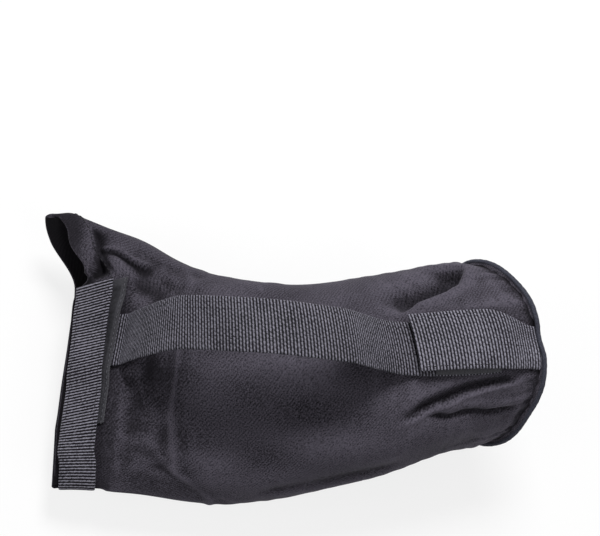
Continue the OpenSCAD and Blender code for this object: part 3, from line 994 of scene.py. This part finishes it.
def build_strap():
    foot_end = foot_s + (bend_gap + foot_len)/sack_len
    stations = np.linspace(foot_end, strap_end_s, strap_rows)
    dense = strap_grid(stations, columns(strap_w, strap_cols), lay_gap + webbing_t/2)
    made = webbing("hand_strap_webbing", dense, strap_w, strap_pitch, strap_webbing)
    foot = dense[np.argmin(np.abs(stations - foot_s)), strap_cols//2]
    (foot + [-1.4, 0, -0.4])*MM
    (foot + [2.2, 0, 4.5])*MM
    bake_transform(made)
    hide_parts("hand_strap", "strap_foot")


def build_tab():
    stations = np.linspace(tab_tip_s, 0.002, tab_rows)
    dense = tab_grid(stations, columns(strap_w, strap_cols))
    tuck = dense[-1][None] + np.linspace(0.1, 1, 8)[:, None, None]*(base_axis*1.3 + np.array([0, 0, -0.9]))
    dense = np.concatenate([dense, tuck])
    made = webbing("strap_tab_webbing", dense, strap_w, strap_pitch, tab_webbing, 5)
    root = dense[tab_rows, strap_cols//2]
    (root + [0.4, 0, 0])*MM
    (root + [-7.5, 0, 0.4])*MM
    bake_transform(made)
    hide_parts("strap_tab")


def build_band():
    v = columns(band_w, band_cols)
    over = band_grid(np.linspace(bend_y + band_len, bend_y, band_rows), v, band_h)
    under = band_foot_grid(np.linspace(0, 1, band_foot_rows), v)
    made = webbing("mouth_band_webbing", np.concatenate([over, under]), band_w, band_pitch, band_webbing)
    root = over[-1, band_cols//2]
    (root + [0, -2.0, -0.6])*MM
    (root + [0, 2.6, 0.4])*MM
    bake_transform(made)
    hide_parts("closure_band", "band_foot")


build_strap()
build_tab()
build_band()


# Hook-and-loop tapes
def laid(dense, width, step):
    """A tape's rows at even steps, their places along and across it, and its normals."""
    rows, at = even_rows(dense, step)
    return rows, at[:, None], columns(width, rows.shape[1])[None], grid_normals(rows)


def loop_tape(name, dense, width, body, node, seed):
    rows, at, v, normal = laid(dense, width, 0.5)
    edge = np.maximum(ease(np.abs(v), width/2 - 2.4, width/2 - 1.8), fall(at, 2.2, 3.2))
    side = np.sqrt(np.maximum(0, 1 - np.abs(2*v/width)**12))
    tuft = 0.09*ripple(rows, 1.5, seed) + 0.07*ripple(rows, 3.6, seed + 1)
    upper = tape_t/2*(0.5 + 0.5*side) - 0.3*edge + (tuft - 0.12)*(1 - edge)
    points, faces = slab(rows + normal*upper[..., None], rows - normal*(tape_t/2 - 0.02))
    made = piece(name, points, faces, loop_nap, listed(*[stack(at, v, edge)]*2))
    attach(made, body)
    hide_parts(node)


# Depth, bend and half width of a hook at its four levels, in mm
hook_levels = ((-0.1, 0, 0.2), (0.26, 0.02, 0.16), (0.4, 0.16, 0.15), (0.36, 0.36, 0.1))


def hook_tape(name, dense, width, body, node):
    rows, at, v, normal = laid(dense, width, 0.75)
    points, faces = slab(rows + normal*(tape_t/2 - 0.02), rows + normal*0.08)
    inside = (slice(2, -2, 2), slice(2, -2, 2))
    spots = rows[inside].reshape(-1, 3)
    down = -normal[inside].reshape(-1, 3)
    lean = unit(np.gradient(rows, axis=0))[inside].reshape(-1, 3)
    lean = lean*np.where(np.arange(len(spots)) % 2, 1, -1)[:, None]
    wide = np.cross(down, lean)
    parts = []
    for deep, bent, r in hook_levels:
        core = spots + down*deep + lean*bent
        parts += [core + wide*r*x + lean*r*y for x, y in ((-1, -0.7), (1, -0.7), (1, 0.7), (-1, 0.7))]
    each = len(parts)
    first = len(points) + each*np.arange(len(spots))[:, None]
    sides = [(k + a, k + a + 4, k + (a + 1) % 4 + 4, k + (a + 1) % 4) for k in (0, 4, 8) for a in range(4)]
    quads = np.concatenate([first + np.array(q) for q in sides + [(12, 15, 14, 13), (0, 1, 2, 3)]])
    flat = stack(at, v, 0)
    made = piece(name, listed(points, np.stack(parts, 1)), faces + [quads], hook_plastic,
        listed(flat, flat, np.tile([0, 0, 1.0], (each*len(spots), 1))))
    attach(made, body)
    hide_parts(node)


def band_run(first, last, n):
    """Places along the band, from its tip, in thirtieths of its length."""
    return bend_y + band_len*(1 - np.linspace(first, last, n)/30)


def build_tapes():
    y = band_run(0, 25, tape_rows)
    v = columns(patch_w, patch_cols)
    patch = band_grid(y, v, lay_gap + tape_t/2, 4*((y - bend_y)/band_len)**1.5)
    curl = ease(y, bend_y + band_len - 9, bend_y + band_len)[:, None]*ease(v, 3, 9)[None]
    patch = patch + grid_normals(patch)*(1.4*curl**2)[..., None]
    loop_tape("mouth_loop_tape", patch, patch_w, "bag", "closure_loop_tape", 31)
    width = band_w - 1
    under = band_grid(band_run(1, 24, tape_rows), columns(width, 23), hook_h)
    hook_tape("mouth_hook_tape", under, width, "band", "closure_hook_tape")
    width = strap_w - 1
    stations = np.linspace(touch_s, strap_end_s, tape_rows)
    top = strap_grid(stations, columns(width, 45), strap_top + skin_gap + tape_t/2)
    loop_tape("strap_end_loop_tape", top, width, "strap", "strap_loop_tape", 35)
    stations = np.linspace(tab_tip_s - 0.01, strap_end_s + 0.012, tape_rows)
    under = tab_grid(stations, columns(width, 31), webbing_t/2 + skin_gap + tape_t/2)
    hook_tape("tab_hook_tape_rows", under, width, "tab", "tab_hook_tape")
    return patch


patch = build_tapes()


# Sewing threads
def stitches(name, lines, body, step=2.4, length=1.7, finish=black_thread):
    """Short threads along lines of (points, normals) that lie on a surface."""
    r = 0.2
    sides = 6
    stations = (-1, -0.8, -0.4, 0, 0.4, 0.8, 1)
    each = sides*len(stations)
    parts = []
    marks = []
    for points, normals in lines:
        run = lengths(points)
        at = np.arange(step/2, run[-1], step)
        spot = read_off(at, run, points)
        up = unit(read_off(at, run, normals))
        ahead = read_off(at + 0.3, run, points) - read_off(at - 0.3, run, points)
        ahead = unit(ahead - (ahead*up).sum(-1, keepdims=True)*up)
        side = np.cross(up, ahead)
        shell = []
        place = []
        for x in stations:
            thick = r*np.sqrt(max(0.06, 1 - x**4))
            core = spot + ahead*(length/2*x) + up*(r*(0.9 - 1.5*x**4))
            for a in np.arange(sides)*np.pi/3:
                shell.append(core + side*(thick*np.cos(a)) + up*(thick*np.sin(a)))
                place.append(stack(at + length/2*x, a, 0))
        parts.append(np.stack(shell, 1))
        marks.append(np.stack(place, 1))
    points = np.concatenate(parts)
    base = each*np.arange(len(points))[:, None]
    tube = base[..., None] + cells(len(stations), sides, loop=True)[None]
    ends = [base + np.arange(sides), base + np.arange(each - 1, each - sides - 1, -1)]
    made = piece(name, points, [tube.reshape(-1, 4)[:, ::-1]] + ends, finish, np.concatenate(marks))
    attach(made, body)


def boxed(grid, crossed=False):
    """Lines round a grid's edges, and across its corners where it is crossed."""
    up = grid_normals(grid)
    lines = [(grid[0], up[0]), (grid[-1], up[-1]), (grid[:, 0], up[:, 0]), (grid[:, -1], up[:, -1])]
    if crossed:
        k = np.arange(len(grid))
        lines += [(grid[k, k], up[k, k]), (grid[k, -1 - k], up[k, -1 - k])]
    return lines


def build_threads():
    normal = grid_normals(sack, loop=True)
    row = int((1 - (hem_len - 1.4)/sack_len)*(along_n - 1))
    ring = np.concatenate([sack[row], sack[row, :1]])
    up = np.concatenate([normal[row], normal[row, :1]])
    column = int(side_seam/(2*np.pi)*round_n) + 3
    stitches("sack_thread", [(ring, up), (sack[4:row, column], normal[4:row, column])], "bag", 2.9, 2.1)
    s = foot_s + (bend_gap + np.linspace(0.8, 9.5, 30))/sack_len
    foot = strap_grid(s, columns(19.5, 30), strap_top - 0.25)
    stitches("strap_foot_thread", boxed(foot, True), "bag")
    s = np.linspace(tab_tip_s - 0.012, strap_end_s + 0.014, 60)
    stitches("tab_thread", boxed(tab_grid(s, columns(20, 30), 0.25 - webbing_t/2)), "tab")
    top = band_grid(band_run(1.4, 23.5, 90), columns(12, 30), band_h + webbing_t/2 - 0.25)
    stitches("band_thread", boxed(top), "band")
    top = grid_normals(patch)
    lines = [(patch[:, k] + top[:, k]*(tape_t/2 - 0.28), top[:, k]) for k in (2, -3)]
    stitches("loop_tape_thread", lines, "bag", finish=grey_thread)


build_threads()


# Filling
neck_s = 0.78


def pouch_grid(stations, turn, inset, pleat=0.0):
    s = stations[:, None]
    sunk = dip[(stations*(along_n - 1)).astype(int)][:, ::2]
    neck_half = tie_d/sack_len
    gather = ease(s, 0.68, neck_s - neck_half)
    slim_r = neck_r*(1 + 0.25*ease(s, neck_s + neck_half, 0.83)) - inset + fabric_t + 0.5
    wave = 1 + pleat*gather*(1 - 0.6*np.exp(-((s - neck_s)/0.012)**2))*np.cos(13*turn + 0.7*np.sin(3*turn))
    wide = sack_point(s, turn, inset + sunk)
    mid = centre(s)
    slim = mid + stack(0*s, np.cos(turn), np.sin(turn))*(slim_r*wave)[..., None]
    p = mix(wide, slim, gather[..., None])
    return mix(mid, p, mix(0.72, 1, ease(s, 0.03, 0.14))[..., None])


def capped(name, rings, finish, seed, rough, inner=None):
    """A body closed at both ends, or with inner rings a bag that is closed at its first end."""
    rows, n = rings.shape[:2]
    normal = grid_normals(rings, loop=True)
    rings = rings + normal*(rough*ripple(rings, 9, seed) - rough)[..., None]
    j = np.arange(n)
    k = (j + 1) % n
    low = rows*n
    last = low - n
    faces = [cells(rows, n, loop=True, flip=True)]
    if inner is None:
        points = listed(rings, rings[0].mean(0), rings[-1].mean(0))
        faces += [corners(low, j, k), corners(low + 1, last + k, last + j)]
    else:
        points = listed(rings, inner, rings[0].mean(0), inner[0].mean(0))
        faces += [cells(rows, n, first=low, loop=True), corners(2*low, j, k),
            corners(2*low + 1, low + k, low + j),
            corners(low + last + j, low + last + k, last + k, last + j)]
    return piece(name, points, faces, finish, points)


def build_filling():
    turn = phi[:, ::2]
    gap = fabric_t + 2.0
    stations = np.linspace(0.03, 0.83, 150)
    rings = pouch_grid(stations, turn, gap, 0.12)
    inner = pouch_grid(stations + np.where(stations == 0.03, 0.004, 0), turn, gap + pouch_t + 0.5, 0.12)
    made = capped("sand_pouch", rings, pouch_film, 41, 0.25, inner)
    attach(made, "bag")
    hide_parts("inner_pouch")
    heap = pouch_grid(np.linspace(0.04, 0.7, 120), turn, gap + pouch_t + 1.2)
    made = capped("sand", heap, fine_sand, 43, 0.3)
    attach(made, "bag")
    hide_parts("sand_fill")
    turn = full_turn(160)[:, None]
    a = full_turn(16)[None]
    lay = tie_d/2*(0.88 + 0.12*np.cos(4*a + 30*turn))
    ring = neck_r + tie_d/2 + seam_gap + lay*np.cos(a)
    points = centre(neck_s) + stack(lay*np.sin(a) + 0*turn, ring*np.cos(turn), ring*np.sin(turn))
    made = ring_tube("pouch_tie_ring", points, points, tie_plastic)
    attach(made, "bag")
    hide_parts("pouch_tie")


build_filling()


# Stage, light and camera
floor_half = 4000
floor_drop = 0.15
focal_px = 1482
picture_w = 600
sensor_w = 36
camera_far = 0.65


def seen_rays(nodes):
    """1 for rays that the camera sends out, straight, off a gloss or through something clear."""
    rays = nodes.node("ShaderNodeLightPath").socket.node.outputs
    seen = [Tone(nodes.tree, rays[k]) for k in ("Is Camera Ray", "Is Glossy Ray", "Is Transmission Ray")]
    return seen[0].math("MAXIMUM", seen[0].math("MAXIMUM", *seen[:2]), seen[2])


def build_stage():
    made, nodes = new_finish("pale floor")
    shown = seen_rays(nodes)
    matt = nodes.node("ShaderNodeBsdfDiffuse", None, {"Color": (0.86, 0.86, 0.86, 1)})
    glow = nodes.node("ShaderNodeEmission", None, {"Color": (1, 1, 1, 1), "Strength": 1.0})
    both = nodes.node("ShaderNodeMixShader", None, {0: shown*0.8, 1: matt, 2: glow})
    nodes.node("ShaderNodeOutputMaterial", None, {"Surface": both})
    x = np.linspace(-floor_half, floor_half, 9)
    floor = piece("floor", stack(x[:, None], x[None], -floor_drop), [cells(9, 9, flip=True)], made)
    world = bpy.data.worlds.new("studio")
    bpy.context.scene.world = world
    world.use_nodes = True
    world.node_tree.nodes.clear()
    nodes = Tone(world.node_tree)
    shown = seen_rays(nodes)
    sky = nodes.node("ShaderNodeBackground", None, {"Color": (1, 1, 1, 1), "Strength": 0.2 + shown*0.8})
    nodes.node("ShaderNodeOutputWorld", None, {"Surface": sky})


def lamp(name, at, aim, size, power):
    light = bpy.data.lights.new(name, "AREA")
    light.shape = "DISK"
    light.size = size
    light.energy = power
    made = put(name, light)
    made.location = at
    made.rotation_euler = (Vector(aim) - Vector(at)).to_track_quat("-Z", "Y").to_euler()


def build_camera():
    target = np.array([0, 40, 40])*MM
    back = unit(np.array([-0.1445, -0.31, 0.94]))
    right = unit(np.cross([0, 1, 0], back))
    up = np.cross(back, right)
    camera = bpy.data.cameras.new("camera")
    camera.lens = focal_px*sensor_w/picture_w
    camera.sensor_width = sensor_w
    camera.sensor_fit = "HORIZONTAL"
    made = put("camera", camera)
    turn = Matrix([[right[k], up[k], back[k]] for k in range(3)]).to_4x4()
    made.matrix_world = Matrix.Translation(target + back*camera_far) @ turn
    bpy.context.scene.camera = made


build_stage()
lamp("key lamp", (0.06, 0.42, 0.7), (0.02, 0, 0.04), 0.3, 6.2)
lamp("fill lamp", (0.5, -0.5, 0.7), (0, 0, 0.03), 0.6, 2)
lamp("side lamp", (-0.7, -0.15, 0.4), (0, 0, 0.04), 0.5, 1.6)
build_camera()
bpy.context.scene.view_settings.view_transform = "Standard"
